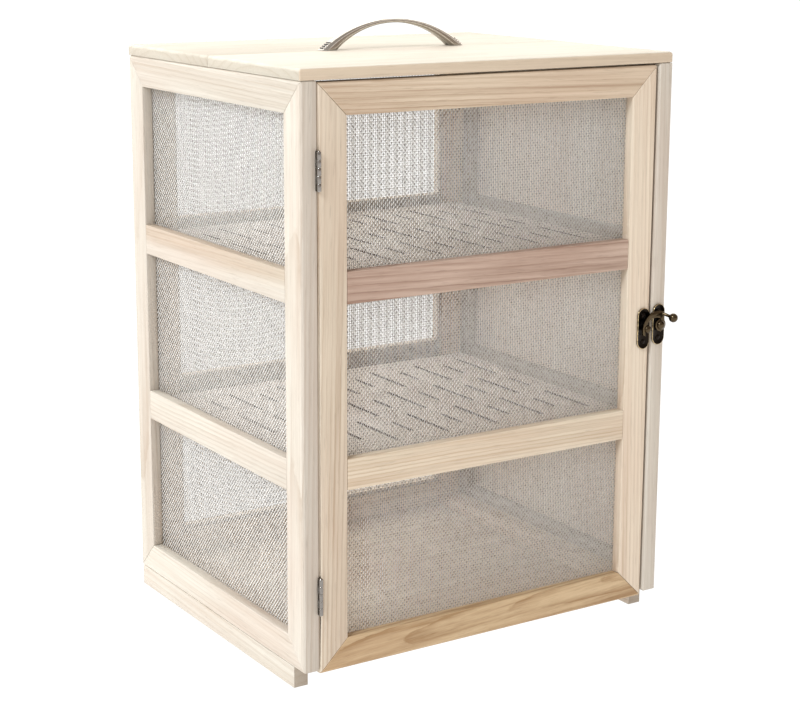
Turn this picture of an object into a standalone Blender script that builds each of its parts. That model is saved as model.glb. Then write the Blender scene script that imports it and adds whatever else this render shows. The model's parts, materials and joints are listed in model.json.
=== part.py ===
"""Wooden food dehydrator: a screened three-tier drying cabinet with a hinged door.

Metres, +Z up. The front faces -Y and X runs to the viewer's right. The origin is on the floor, at the
centre of the whole object's box, so the empty that carries everything stands a little off the cabinet's
own centre: the latch's thumb ball reaches out to the right and to the front.
Inside the cabinet's own frame, x = 0 is the middle, y = 0 is the front and z = 0 is the floor.
"""

import math

import bmesh
import bpy
from mathutils import Matrix, Vector

MM = 0.001
GAP = 0.3 * MM  # between pieces that touch

# Cabinet
WIDTH = 360 * MM
DEPTH = 300 * MM
FOOT_HEIGHT = 18.4 * MM
FRAME_BOTTOM = FOOT_HEIGHT
FRAME_TOP = FRAME_BOTTOM + 467 * MM
BOARD = 9.3 * MM  # the top board
FLOOR = 7 * MM

# Frame stock: square round the opening, eased outside, with a rabbet behind for the screen
STOCK_WIDTH = 25.5 * MM
STOCK = 14 * MM
LIP = 9.2 * MM  # from the face to the rabbet
RABBET = 4 * MM
ARRIS = 1.5 * MM
SCREEN = 0.6 * MM
PANEL = 4 * MM

# Middle rails, from the bottom of the side frames to each rail's lower edge
SIDE_RAILS = (145.5 * MM, 295.5 * MM)
DOOR_RAILS = (145 * MM, 294.5 * MM)
REAR_RAILS = (150.5 * MM, 296.5 * MM)

# Door
DOOR_LEFT = -WIDTH / 2 + STOCK + 1 * MM
DOOR_RIGHT = WIDTH / 2 - STOCK - 2 * MM
DOOR_BOTTOM = FRAME_BOTTOM - 3 * MM
DOOR_TOP = FRAME_TOP - 1.5 * MM

# Shelves, loose on cleats
SHELF_WIDTH = 315 * MM
SHELF_DEPTH = 248 * MM
SHELF = 5 * MM
SHELF_TOPS = (FRAME_BOTTOM + 165 * MM, FRAME_BOTTOM + 313 * MM)
SHELF_FRONTS = (22 * MM, 37.4 * MM)  # the lower one is pulled a little forward
SHELF_CENTRES = (-2.5 * MM, 0)
SHELF_NAMES = ("lower", "upper")
SLOT_PITCH = 25 * MM
SLOT_COLUMNS = 12
SLOT_WIDTH = 3.5 * MM
SLOT_LONG = 64 * MM
SLOT_SHORT = 32 * MM
SLOT_GAP = 23 * MM
CLEAT = 15 * MM
CLEAT_HEIGHT = 12 * MM

# Floor battens and feet
BATTEN_WIDTH = 27 * MM
BATTEN = 8 * MM
FOOT_WIDTH = 13 * MM
FOOT_SETBACK = 18 * MM

# Butt hinges on the left of the door
HINGE_LENGTH = 30 * MM
HINGE_CENTRES = (FRAME_BOTTOM + 62.5 * MM, FRAME_BOTTOM + 399.5 * MM)
HINGE_NAMES = ("lower", "upper")
LEAF = 0.9 * MM
LEAF_REACH = 11 * MM
KNUCKLE = 1.8 * MM
KNUCKLE_BORE = 1.0 * MM
PIN = 0.85 * MM
KNUCKLES = 5
HINGE_AXIS = Vector((-WIDTH / 2 + STOCK + 0.5 * MM, -2.5 * MM, 0))

# Swing-hook latch: a plate on the right frame, a catch plate with a peg on the door
PLATE_WIDTH = 13.2 * MM
PLATE_LENGTH = 36 * MM
PLATE = 1.6 * MM
HOOK = 1.8 * MM
LATCH_AXIS = Vector((173 * MM, 0, FRAME_BOTTOM + 243 * MM))
PEG = LATCH_AXIS + Vector((-14.5 * MM, 0, -2.2 * MM))
CATCH_CENTRE = LATCH_AXIS + Vector((-16.6 * MM, 0, -2 * MM))
HOOK_CLEARANCE = 1.2 * MM  # between the plates and the hook
HOOK_FRONT = -(PLATE + HOOK_CLEARANCE + HOOK)
CRESCENT = 16 * MM  # radius of the hook's outer arc
CRESCENT_CENTRE = (-3.5 * MM, -3.2 * MM)  # from the pivot, seen from the front
CRESCENT_TURN = (65, 195)  # degrees, from beside the hub out to the tip
SEAT_CENTRE = (-5.5 * MM, -4.5 * MM)  # of the hook's inner arc, which rests on the peg
SEAT_TURN = (197, 62)
HUB = 5.5 * MM
HUB_TURN = (96, 400)
RIVET = 1.6 * MM
DOME = 4 * MM
PEG_SHANK = 1.9 * MM
PEG_DOME = 3.3 * MM
BALL = 4 * MM
BALL_CENTRE = LATCH_AXIS + Vector((6.6 * MM, -13 * MM, 7 * MM))
ARM_ROOT = LATCH_AXIS + Vector((2 * MM, HOOK_FRONT + HOOK / 2, 10 * MM))
ARM = 1.4 * MM

# Bow handle on the top board
HANDLE_SPACING = 128 * MM
HANDLE_SPAN = 142 * MM
HANDLE_RISE = 24.5 * MM
HANDLE_STRAP = 3.4 * MM
HANDLE_WIDTH = 8.5 * MM
HANDLE_FOOT_WIDTH = 12 * MM
HANDLE_CENTRE = Vector((-1.5 * MM, DEPTH / 2 + 4 * MM, FRAME_TOP + BOARD))
SCREW = 2 * MM
SCREW_HEAD = 4 * MM
SCREW_HEAD_HEIGHT = 2.4 * MM

# Where the cabinet stands so that the whole object's box is centred on the origin
BOX_RIGHT = BALL_CENTRE.x + BALL
BOX_FRONT = BALL_CENTRE.y - BALL
STAND = Vector(((WIDTH / 2 - BOX_RIGHT) / 2, -(BOX_FRONT + DEPTH) / 2, 0))

for old in list(bpy.data.objects):
    bpy.data.objects.remove(old, do_unlink=True)

cabinet = bpy.data.objects.new("cabinet", None)
cabinet.location = STAND
bpy.context.collection.objects.link(cabinet)


def carrier(name, place):
    """An empty on a joint's axis, for the pieces that turn or slide there."""
    empty = bpy.data.objects.new(name, None)
    empty.location = place
    empty.parent = cabinet
    bpy.context.collection.objects.link(empty)
    return empty


door_axis = carrier("door_axis", HINGE_AXIS)
latch_axis = carrier("latch_axis", LATCH_AXIS)


def material(name, colour, roughness, metallic=0.0):
    made = bpy.data.materials.new(name)
    made.use_nodes = True
    shader = made.node_tree.nodes["Principled BSDF"]
    shader.inputs["Base Color"].default_value = (*colour, 1)
    shader.inputs["Roughness"].default_value = roughness
    shader.inputs["Metallic"].default_value = metallic
    return made


PALE = material("pale_wood", (0.80, 0.71, 0.56), 0.65)
WARM = material("warm_wood", (0.66, 0.53, 0.38), 0.65)
VENEER = material("veneer", (0.62, 0.52, 0.40), 0.7)
WIRE = material("screen_wire", (0.60, 0.59, 0.57), 0.4, 0.9)
STEEL = material("hinge_steel", (0.45, 0.44, 0.42), 0.35, 1.0)
BRONZE = material("antique_bronze", (0.055, 0.042, 0.028), 0.35, 0.9)
NICKEL = material("satin_nickel", (0.68, 0.66, 0.62), 0.28, 1.0)


def add(name, bm, finish, parent=cabinet, smooth=False):
    """Makes a named object of a bmesh drawn in the cabinet's own frame."""
    bmesh.ops.recalc_face_normals(bm, faces=bm.faces)
    if parent is not cabinet:
        bmesh.ops.translate(bm, verts=bm.verts, vec=-parent.location)
    mesh = bpy.data.meshes.new(name)
    bm.to_mesh(mesh)
    bm.free()
    if smooth:
        mesh.shade_smooth()
        mesh.set_sharp_from_angle(angle=math.radians(40))
    mesh.materials.append(finish)
    piece = bpy.data.objects.new(name, mesh)
    piece.parent = parent
    bpy.context.collection.objects.link(piece)
    return piece


def block(low, high, bm=None):
    """A box between two corners."""
    bm = bm or bmesh.new()
    low, high = Vector(low), Vector(high)
    place = Matrix.Translation((low + high) / 2) @ Matrix.Diagonal((*(high - low), 1))
    bmesh.ops.create_cube(bm, size=1, matrix=place)
    return bm


def prism(outline, place, length, bm=None):
    """An outline of (x, y) points pushed along local z by length, then set by a matrix."""
    bm = bm or bmesh.new()
    face = bm.faces.new([bm.verts.new((x, y, 0)) for x, y in outline])
    pushed = bmesh.ops.extrude_face_region(bm, geom=[face])["geom"]
    verts = [v for v in pushed if isinstance(v, bmesh.types.BMVert)]
    bmesh.ops.translate(bm, verts=verts, vec=(0, 0, length))
    bmesh.ops.transform(bm, matrix=place, verts=[*verts, *face.verts])
    return bm


def turned(profile, place, segments=24):
    """A solid of revolution about local z, from (radius, z) points that start and end on the axis."""
    bm = bmesh.new()
    verts = [bm.verts.new((r, 0, z)) for r, z in profile]
    edges = [bm.edges.new(pair) for pair in zip(verts, verts[1:])]
    bmesh.ops.spin(bm, geom=verts + edges, axis=(0, 0, 1), cent=(0, 0, 0), angle=2 * math.pi, steps=segments)
    bmesh.ops.remove_doubles(bm, verts=bm.verts, dist=1e-6)
    bmesh.ops.transform(bm, matrix=place, verts=bm.verts)
    return bm


def circle(radius, centre=(0, 0), start=0.0, end=2 * math.pi, count=24):
    """Points along an arc, ends included unless it is a whole turn."""
    whole = abs(end - start) > 2 * math.pi - 1e-6
    steps = count if whole else count - 1
    angles = [start + (end - start) * i / steps for i in range(count)]
    return [(centre[0] + radius * math.cos(a), centre[1] + radius * math.sin(a)) for a in angles]


def combine(piece, bm, operation):
    """Cuts a shape from a piece, or joins one to it, with an exact Boolean that stays on the piece."""
    mesh = bpy.data.meshes.new(f"{piece.name}_tool")
    bmesh.ops.recalc_face_normals(bm, faces=bm.faces)
    if piece.parent is not cabinet:
        bmesh.ops.translate(bm, verts=bm.verts, vec=-piece.parent.location)
    bm.to_mesh(mesh)
    bm.free()
    tool = bpy.data.objects.new(f"{piece.name}_tool", mesh)
    tool.parent = piece.parent
    tool.hide_render = True
    tool.display_type = "WIRE"
    bpy.context.collection.objects.link(tool)
    step = piece.modifiers.new(operation.lower(), "BOOLEAN")
    step.operation = operation
    step.solver = "EXACT"
    step.object = tool


def facing_front(centre):
    """Local x right, local y up, local z towards the front, at a point of the front."""
    turn = Matrix(((1, 0, 0), (0, 0, -1), (0, 1, 0))).to_4x4()
    return Matrix.Translation(centre) @ turn


# ---------------------------------------------------------------- frames

EDGE_PROFILE = (
    (ARRIS, 0),
    (STOCK_WIDTH, 0),
    (STOCK_WIDTH, LIP),
    (STOCK_WIDTH - RABBET, LIP),
    (STOCK_WIDTH - RABBET, STOCK),
    (0, STOCK),
    (0, ARRIS),
)
RAIL_PROFILE = ((0, 0), (STOCK_WIDTH, 0), (STOCK_WIDTH, LIP), (0, LIP))


def mitre(across):
    """How far a mitred end stands in from the frame's corner."""
    return across + GAP / 2 * math.sqrt(2)


def butt(across):
    """How far a middle rail's square end stands in from the frame's edge, the same all across it."""
    return STOCK_WIDTH + GAP


def bar(profile, length, end, place, across_start=0.0):
    """A frame member: its profile along local x, across local y from across_start, depth into local z."""
    bm = bmesh.new()
    rings = []
    for side in (0, 1):
        ring = []
        for across, depth in profile:
            inset = end(across)
            along = length - inset if side else inset
            ring.append(bm.verts.new((along, across + across_start, depth)))
        rings.append(ring)
    count = len(profile)
    for i in range(count):
        j = (i + 1) % count
        bm.faces.new((rings[0][i], rings[0][j], rings[1][j], rings[1][i]))
    for ring in rings:
        bm.faces.new(ring)
    bmesh.ops.transform(bm, matrix=place, verts=bm.verts)
    return bm


def frame(name, corner, right, up, into, size, rails, finishes, parent=cabinet):
    """Four mitred members and two middle rails round a corner, with its plane along right and up."""
    wide, high = size
    axes = Matrix((right, up, into)).transposed().to_4x4()
    place = Matrix.Translation(corner) @ axes
    far = Matrix.Translation((wide, high, 0)) @ Matrix.Diagonal((-1, -1, 1, 1))
    upright = Matrix(((0, 1, 0), (1, 0, 0), (0, 0, 1))).to_4x4()
    members = {
        "rail_bottom": bar(EDGE_PROFILE, wide, mitre, place),
        "rail_top": bar(EDGE_PROFILE, wide, mitre, place @ far),
        "stile_near": bar(EDGE_PROFILE, high, mitre, place @ upright),
        "stile_far": bar(EDGE_PROFILE, high, mitre, place @ far @ upright),
        "rail_lower": bar(RAIL_PROFILE, wide, butt, place, rails[0]),
        "rail_upper": bar(RAIL_PROFILE, wide, butt, place, rails[1]),
    }
    names = {"stile_near": finishes["stiles"][0], "stile_far": finishes["stiles"][1]}
    made = {}
    for member, bm in members.items():
        label = names.get(member, member)
        made[label] = add(f"{name}_{label}", bm, finishes["material"], parent)
    return made


RIGHTWARD, BACKWARD, UPWARD = Vector((1, 0, 0)), Vector((0, 1, 0)), Vector((0, 0, 1))
SIDE_SIZE = (DEPTH, FRAME_TOP - FRAME_BOTTOM)
FRONT_TO_REAR = {"stiles": ("stile_front", "stile_rear"), "material": PALE}
LEFT_TO_RIGHT = {"stiles": ("stile_left", "stile_right"), "material": WARM}

# The left frame shows its good face outside; the right one is turned round, with its panel outside
left_frame = frame(
    "left",
    Vector((-WIDTH / 2, 0, FRAME_BOTTOM)),
    BACKWARD,
    UPWARD,
    RIGHTWARD,
    SIDE_SIZE,
    SIDE_RAILS,
    FRONT_TO_REAR,
)
frame(
    "right",
    Vector((WIDTH / 2 - STOCK, 0, FRAME_BOTTOM)),
    BACKWARD,
    UPWARD,
    RIGHTWARD,
    SIDE_SIZE,
    SIDE_RAILS,
    FRONT_TO_REAR,
)
REAR_LEFT = -WIDTH / 2 + STOCK + GAP
REAR_BOTTOM = FRAME_BOTTOM + FLOOR + GAP
REAR_SIZE = (-2 * REAR_LEFT, FRAME_TOP - REAR_BOTTOM)
rear_rails = [FRAME_BOTTOM + z - REAR_BOTTOM for z in REAR_RAILS]
frame(
    "rear",
    Vector((REAR_LEFT, DEPTH, REAR_BOTTOM)),
    RIGHTWARD,
    UPWARD,
    -BACKWARD,
    REAR_SIZE,
    rear_rails,
    LEFT_TO_RIGHT,
)
DOOR_SIZE = (DOOR_RIGHT - DOOR_LEFT, DOOR_TOP - DOOR_BOTTOM)
door_rails = [FRAME_BOTTOM + z - DOOR_BOTTOM for z in DOOR_RAILS]
door_frame = frame(
    "door",
    Vector((DOOR_LEFT, 0, DOOR_BOTTOM)),
    RIGHTWARD,
    UPWARD,
    BACKWARD,
    DOOR_SIZE,
    door_rails,
    LEFT_TO_RIGHT,
    door_axis,
)

# ---------------------------------------------------------------- screens and the solid side

SEAT = STOCK_WIDTH - RABBET + GAP  # from a frame's edge to the screen that lies in its rabbet
SCREEN_NEAR = LIP + GAP
SCREEN_FAR = SCREEN_NEAR + SCREEN

add(
    "left_screen",
    block(
        (-WIDTH / 2 + SCREEN_NEAR, SEAT, FRAME_BOTTOM + SEAT),
        (-WIDTH / 2 + SCREEN_FAR, DEPTH - SEAT, FRAME_TOP - SEAT),
    ),
    WIRE,
)
add(
    "rear_screen",
    block(
        (REAR_LEFT + SEAT, DEPTH - SCREEN_FAR, REAR_BOTTOM + SEAT),
        (-REAR_LEFT - SEAT, DEPTH - SCREEN_NEAR, FRAME_TOP - SEAT),
    ),
    WIRE,
)
add(
    "door_screen",
    block(
        (DOOR_LEFT + SEAT, SCREEN_NEAR, DOOR_BOTTOM + SEAT),
        (DOOR_RIGHT - SEAT, SCREEN_FAR, DOOR_TOP - SEAT),
    ),
    WIRE,
    door_axis,
)
PANEL_INSIDE = WIDTH / 2 - STOCK + SCREEN_NEAR
add(
    "right_panel",
    block((PANEL_INSIDE, SEAT, FRAME_BOTTOM + SEAT), (PANEL_INSIDE + PANEL, DEPTH - SEAT, FRAME_TOP - SEAT)),
    VENEER,
)

# ---------------------------------------------------------------- top, floor and feet

SEAM = DEPTH / 2
BOARD_BOTTOM = FRAME_TOP + GAP
BOARD_TOP = FRAME_TOP + BOARD


top_front = block((-WIDTH / 2, 0, BOARD_BOTTOM), (WIDTH / 2, SEAM - GAP / 2, BOARD_TOP))
top_rear = block((-WIDTH / 2, SEAM + GAP / 2, BOARD_BOTTOM), (WIDTH / 2, DEPTH, BOARD_TOP))
add("top_board_front", top_front, PALE)
top_board_rear = add("top_board_rear", top_rear, PALE)

INSIDE = WIDTH / 2 - STOCK - GAP  # half the clear width between the side frames
BEHIND_DOOR = STOCK + 2 * MM
add(
    "floor_board",
    block((-INSIDE, BEHIND_DOOR, FRAME_BOTTOM), (INSIDE, DEPTH, FRAME_BOTTOM + FLOOR)),
    PALE,
)
BATTEN_BOTTOM = FRAME_BOTTOM + FLOOR + GAP
INNER_REAR = DEPTH - STOCK - GAP
for side, name in ((-1, "left"), (1, "right")):
    inner, outer = sorted((side * INSIDE, side * (INSIDE - BATTEN_WIDTH)))
    batten = block((inner, BEHIND_DOOR, BATTEN_BOTTOM), (outer, INNER_REAR, BATTEN_BOTTOM + BATTEN))
    add(f"floor_batten_{name}", batten, PALE)
    near, far = sorted((side * (WIDTH / 2 - 1 * MM), side * (WIDTH / 2 - 1 * MM - FOOT_WIDTH)))
    foot = block((near, FOOT_SETBACK, 0), (far, DEPTH, FOOT_HEIGHT - GAP))
    add(f"foot_rail_{name}", foot, PALE)

# ---------------------------------------------------------------- shelves and cleats


def slot_rows(column):
    """The (front, rear) of each slot in a column: long-short-long, then short-long-short, in turn."""
    lengths = (SLOT_LONG, SLOT_SHORT, SLOT_LONG) if column % 2 else (SLOT_SHORT, SLOT_LONG, SLOT_SHORT)
    total = sum(lengths) + 2 * SLOT_GAP
    front = (SHELF_DEPTH - total) / 2
    for length in lengths:
        yield front, front + length
        front += length + SLOT_GAP


def slotted_board(centre, front, top):
    """A thin board cut with staggered round-ended slots that run front to back."""
    bm = bmesh.new()
    across = SLOT_PITCH * (SLOT_COLUMNS - 1)
    left, right = centre - SHELF_WIDTH / 2, centre + SHELF_WIDTH / 2
    outline = [(left, front), (right, front), (right, front + SHELF_DEPTH), (left, front + SHELF_DEPTH)]
    loops = [outline]
    for column in range(SLOT_COLUMNS):
        x = centre - across / 2 + SLOT_PITCH * column
        for low, high in slot_rows(column):
            radius = SLOT_WIDTH / 2
            near = circle(radius, (x, front + low + radius), math.pi, 2 * math.pi, 5)
            far = circle(radius, (x, front + high - radius), 0, math.pi, 5)
            loops.append(near + far)
    edges = []
    for loop in loops:
        verts = [bm.verts.new((x, y, top - SHELF)) for x, y in loop]
        edges += [bm.edges.new((a, b)) for a, b in zip(verts, verts[1:] + verts[:1])]
    bmesh.ops.triangle_fill(bm, edges=edges, use_beauty=True)
    pushed = bmesh.ops.extrude_face_region(bm, geom=bm.faces[:])["geom"]
    upper = [v for v in pushed if isinstance(v, bmesh.types.BMVert)]
    bmesh.ops.translate(bm, verts=upper, vec=(0, 0, SHELF))
    return bm


for name, centre, front, top in zip(SHELF_NAMES, SHELF_CENTRES, SHELF_FRONTS, SHELF_TOPS):
    add(f"shelf_{name}", slotted_board(centre, front, top), VENEER)
    cleat_top = top - SHELF - GAP
    for side, hand in ((-1, "left"), (1, "right")):
        inner, outer = sorted((side * INSIDE, side * (INSIDE - CLEAT)))
        cleat = block((inner, BEHIND_DOOR, cleat_top - CLEAT_HEIGHT), (outer, INNER_REAR, cleat_top))
        add(f"shelf_cleat_{name}_{hand}", cleat, PALE)
    between = INSIDE - CLEAT - GAP
    rear = block((-between, INNER_REAR - CLEAT, cleat_top - CLEAT_HEIGHT), (between, INNER_REAR, cleat_top))
    add(f"shelf_cleat_{name}_rear", rear, PALE)

# ---------------------------------------------------------------- hinges

KNUCKLE_PITCH = HINGE_LENGTH / KNUCKLES
LEAF_INNER = 0.2 * MM  # from the pin's axis, across, to the leaf's near face
LEAF_ROOT = 1.4 * MM  # from the axis, backwards, to where a leaf joins its knuckles
LEAF_CLEAR = 2.5 * MM  # and to where it clears the other leaf's


def leaf(name, side, centre, owned, parent):
    """A plate let into the wood, combed at the pin's edge, with its own knuckles joined to it."""
    bottom = centre - HINGE_LENGTH / 2
    comb = [(LEAF_REACH, bottom + HINGE_LENGTH), (LEAF_REACH, bottom)]
    for i in range(KNUCKLES):
        edge = HINGE_AXIS.y + (LEAF_ROOT if i in owned else LEAF_CLEAR)
        trim = GAP / 2 if i in owned else -GAP / 2
        comb.append((edge, bottom + i * KNUCKLE_PITCH + (trim if i else 0)))
        last = i == KNUCKLES - 1
        comb.append((edge, bottom + (i + 1) * KNUCKLE_PITCH - (0 if last else trim)))
    low = HINGE_AXIS.x + (LEAF_INNER if side > 0 else -LEAF_INNER - LEAF)
    across = Matrix(((0, 0, 1), (1, 0, 0), (0, 1, 0))).to_4x4()
    plate = prism(comb, Matrix.Translation((low, 0, 0)) @ across, LEAF)
    piece = add(name, plate, STEEL, parent, smooth=True)
    for i in owned:
        start = bottom + i * KNUCKLE_PITCH + (GAP / 2 if i else 0)
        end = bottom + (i + 1) * KNUCKLE_PITCH - (GAP / 2 if i < KNUCKLES - 1 else 0)
        combine(piece, tube(KNUCKLE, KNUCKLE_BORE, start, end), "UNION")
    return piece


def tube(outer, inner, low, high, count=20):
    """A plain tube round the hinges' axis."""
    bm = bmesh.new()
    rings = []
    for radius, height in ((outer, low), (outer, high), (inner, high), (inner, low)):
        points = circle(radius, HINGE_AXIS.xy, count=count)
        rings.append([bm.verts.new((x, y, height)) for x, y in points])
    for ring, following in zip(rings, rings[1:] + rings[:1]):
        for i in range(count):
            j = (i + 1) % count
            bm.faces.new((ring[i], ring[j], following[j], following[i]))
    return bm


for name, centre in zip(HINGE_NAMES, HINGE_CENTRES):
    leaf(f"hinge_{name}_frame_leaf", -1, centre, (0, 2, 4), cabinet)
    leaf(f"hinge_{name}_door_leaf", 1, centre, (1, 3), door_axis)
    half = HINGE_LENGTH / 2 + 0.4 * MM
    pin = [(0, -half), (PIN, -half), (PIN, half), (KNUCKLE * 0.8, half), (KNUCKLE * 0.5, half + 0.6 * MM)]
    place = Matrix.Translation((HINGE_AXIS.x, HINGE_AXIS.y, centre))
    add(f"hinge_{name}_pin", turned([*pin, (0, half + 0.8 * MM)], place, 16), STEEL, smooth=True)
    for side, wood in ((-1, left_frame["stile_front"]), (1, door_frame["stile_left"])):
        floor = HINGE_AXIS.x + side * (LEAF_INNER + LEAF + GAP)
        low, high = sorted((floor, HINGE_AXIS.x))
        reach = HINGE_LENGTH / 2 + GAP
        mortise = block((low, -1 * MM, centre - reach), (high, LEAF_REACH + GAP, centre + reach))
        combine(wood, mortise, "DIFFERENCE")

# ---------------------------------------------------------------- latch


def stadium(width, length, count=13):
    """The outline of a plate with round ends, its length along y."""
    radius = width / 2
    reach = length / 2 - radius
    top = circle(radius, (0, reach), 0, math.pi, count)
    bottom = circle(radius, (0, -reach), math.pi, 2 * math.pi, count)
    return top + bottom


def hook_outline():
    """Seen from the front about the pivot: a crescent that rests on the peg, and a hub."""
    inner = ((PEG - LATCH_AXIS).xz - Vector(SEAT_CENTRE)).length + PEG_SHANK + GAP
    outer_arc = circle(CRESCENT, CRESCENT_CENTRE, *map(math.radians, CRESCENT_TURN), 16)
    inner_arc = circle(inner, SEAT_CENTRE, *map(math.radians, SEAT_TURN), 14)
    hub = circle(HUB, (0, 0), *map(math.radians, HUB_TURN), 18)
    return outer_arc + inner_arc + hub


def rod(start, end, radius, count=12):
    """A straight round bar between two points."""
    run = end - start
    turn = run.to_track_quat("Z", "Y").to_matrix().to_4x4()
    return prism(circle(radius, count=count), Matrix.Translation(start) @ turn, run.length)


def domed(radius, shank, start, end, height):
    """A rivet's profile: a shank from start to end, then a low dome."""
    angles = [i * math.pi / 12 for i in range(7)]
    dome = [(radius * math.cos(a), end + height * math.sin(a)) for a in angles]
    return [(0, start), (shank, start), (shank, end), *dome[:-1], (0, end + height)]


latch_centre = Vector((LATCH_AXIS.x, -GAP, LATCH_AXIS.z))
plate = prism(stadium(PLATE_WIDTH, PLATE_LENGTH), facing_front(latch_centre), PLATE)
add("latch_plate", plate, BRONZE, smooth=True)
catch = prism(stadium(PLATE_WIDTH, PLATE_LENGTH), facing_front(CATCH_CENTRE + Vector((0, -GAP, 0))), PLATE)
add("catch_plate", catch, BRONZE, door_axis, smooth=True)

SHANK_BASE = -(GAP + PLATE + GAP)
SHANK_LENGTH = SHANK_BASE - (HOOK_FRONT - GAP)  # so that the domes stand just clear of the hook
rivet = domed(DOME, RIVET, 0, SHANK_LENGTH, DOME * 0.7)
rivet_base = Vector((LATCH_AXIS.x, SHANK_BASE, LATCH_AXIS.z))
add("latch_rivet", turned(rivet, facing_front(rivet_base)), BRONZE, smooth=True)
peg = domed(PEG_DOME, PEG_SHANK, 0, SHANK_LENGTH, PEG_DOME * 0.7)
peg_base = Vector((PEG.x, SHANK_BASE, PEG.z))
add("catch_peg", turned(peg, facing_front(peg_base)), BRONZE, door_axis, smooth=True)

hook_back = Vector((LATCH_AXIS.x, HOOK_FRONT + HOOK, LATCH_AXIS.z))
crescent = prism(hook_outline(), facing_front(hook_back), HOOK)
hook = add("latch_hook", crescent, BRONZE, latch_axis, smooth=True)
combine(hook, rod(ARM_ROOT, BALL_CENTRE, ARM), "UNION")
ball = bmesh.new()
at_arm_end = Matrix.Translation(BALL_CENTRE)
bmesh.ops.create_uvsphere(ball, u_segments=20, v_segments=12, radius=BALL, matrix=at_arm_end)
combine(hook, ball, "UNION")
bore = prism(circle(RIVET + GAP), facing_front(LATCH_AXIS), 12 * MM)
combine(hook, bore, "DIFFERENCE")

# ---------------------------------------------------------------- handle


def arch(half_span, rise, turn):
    """A point of an arc that springs from its base at turn = -1 and 1 and peaks at turn = 0."""
    radius = (half_span**2 + rise**2) / (2 * rise)
    angle = math.asin(half_span / radius) * turn
    return radius * math.sin(angle), radius * math.cos(angle) - (radius - rise)


# Round the strap: how far through it from the inside, and how far across in widths
STRAP_SIDE = ((0, 0.32), (0.3, 0.5), (0.7, 0.5), (1, 0.32))
STRAP_SECTION = STRAP_SIDE + tuple((through, -across) for through, across in reversed(STRAP_SIDE))


def bow(sections=33):
    """The handle: a strap between two arcs whose ends widen into flat feet."""
    bm = bmesh.new()
    foot_inner = HANDLE_SPACING - HANDLE_SPAN / 2
    rings = []
    for k in range(sections):
        turn = 2 * k / (sections - 1) - 1
        outer = arch(HANDLE_SPAN / 2, HANDLE_RISE, turn)
        inner = arch(foot_inner, HANDLE_RISE - HANDLE_STRAP, turn)
        width = HANDLE_WIDTH + (HANDLE_FOOT_WIDTH - HANDLE_WIDTH) * abs(turn) ** 4
        ring = []
        for through, across in STRAP_SECTION:
            x = inner[0] + (outer[0] - inner[0]) * through
            z = inner[1] + (outer[1] - inner[1]) * through
            ring.append(bm.verts.new((x, across * width, z)))
        rings.append(ring)
    for ring, following in zip(rings, rings[1:]):
        for i in range(8):
            j = (i + 1) % 8
            bm.faces.new((ring[i], ring[j], following[j], following[i]))
    bm.faces.new(rings[0])
    bm.faces.new(rings[-1])
    bmesh.ops.translate(bm, verts=bm.verts, vec=HANDLE_CENTRE + Vector((0, 0, GAP)))
    return bm


handle = add("top_handle", bow(), NICKEL, smooth=True)
HOLE = SCREW + GAP
THREAD_REACH = 2.4 * MM  # how far a screw goes up into the handle's foot
for side, hand in ((-1, "left"), (1, "right")):
    x, y = HANDLE_CENTRE.x + side * HANDLE_SPACING / 2, HANDLE_CENTRE.y
    low = Matrix.Translation((x, y, FRAME_TOP - 1 * MM))
    high = BOARD_TOP + GAP + THREAD_REACH + GAP
    combine(handle, prism(circle(HOLE, count=20), low, high - FRAME_TOP + 1 * MM), "DIFFERENCE")
    combine(top_board_rear, prism(circle(HOLE, count=20), low, BOARD + 2 * MM), "DIFFERENCE")
    head_low, reach = -SCREW_HEAD_HEIGHT, high - GAP - FRAME_TOP
    head = [(0, head_low), (SCREW_HEAD * 0.8, head_low), (SCREW_HEAD, head_low * 0.6)]
    shank = [(SCREW_HEAD, 0), (SCREW, 0), (SCREW, reach), (0, reach)]
    screw = turned(head + shank, Matrix.Translation((x, y, FRAME_TOP)), 20)
    add(f"handle_screw_{hand}", screw, STEEL, smooth=True)
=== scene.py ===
"""The looks of a wooden, screened food dehydrator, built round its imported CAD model.

Metres, Z up, the front towards -Y.
"""

import json
import math

import bmesh
import bpy
import numpy as np
from mathutils import Matrix, Vector


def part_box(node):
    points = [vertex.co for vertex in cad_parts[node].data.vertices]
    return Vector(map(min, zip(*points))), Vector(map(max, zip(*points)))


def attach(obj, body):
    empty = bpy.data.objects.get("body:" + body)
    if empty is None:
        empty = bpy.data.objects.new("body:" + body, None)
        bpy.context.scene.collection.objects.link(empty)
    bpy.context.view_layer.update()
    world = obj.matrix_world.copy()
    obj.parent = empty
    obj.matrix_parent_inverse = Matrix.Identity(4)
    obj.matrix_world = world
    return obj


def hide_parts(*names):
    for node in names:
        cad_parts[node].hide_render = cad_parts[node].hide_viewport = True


MM = 0.001
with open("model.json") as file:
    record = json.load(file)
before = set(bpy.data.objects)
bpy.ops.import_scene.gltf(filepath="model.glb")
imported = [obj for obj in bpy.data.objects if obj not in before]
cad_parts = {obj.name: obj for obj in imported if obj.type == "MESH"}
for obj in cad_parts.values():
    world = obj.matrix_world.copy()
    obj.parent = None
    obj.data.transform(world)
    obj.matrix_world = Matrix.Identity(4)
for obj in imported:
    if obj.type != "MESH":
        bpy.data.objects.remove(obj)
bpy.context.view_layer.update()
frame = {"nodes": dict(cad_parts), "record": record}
bodies = frame["record"]["behaviour"]["bodies"]
body_of = {node: body for body, members in bodies.items() for node in members}
slot_of = {part["node"]: part["material_slot"] for part in frame["record"]["subparts"]}

# ---------------------------------------------------------------- camera

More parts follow.
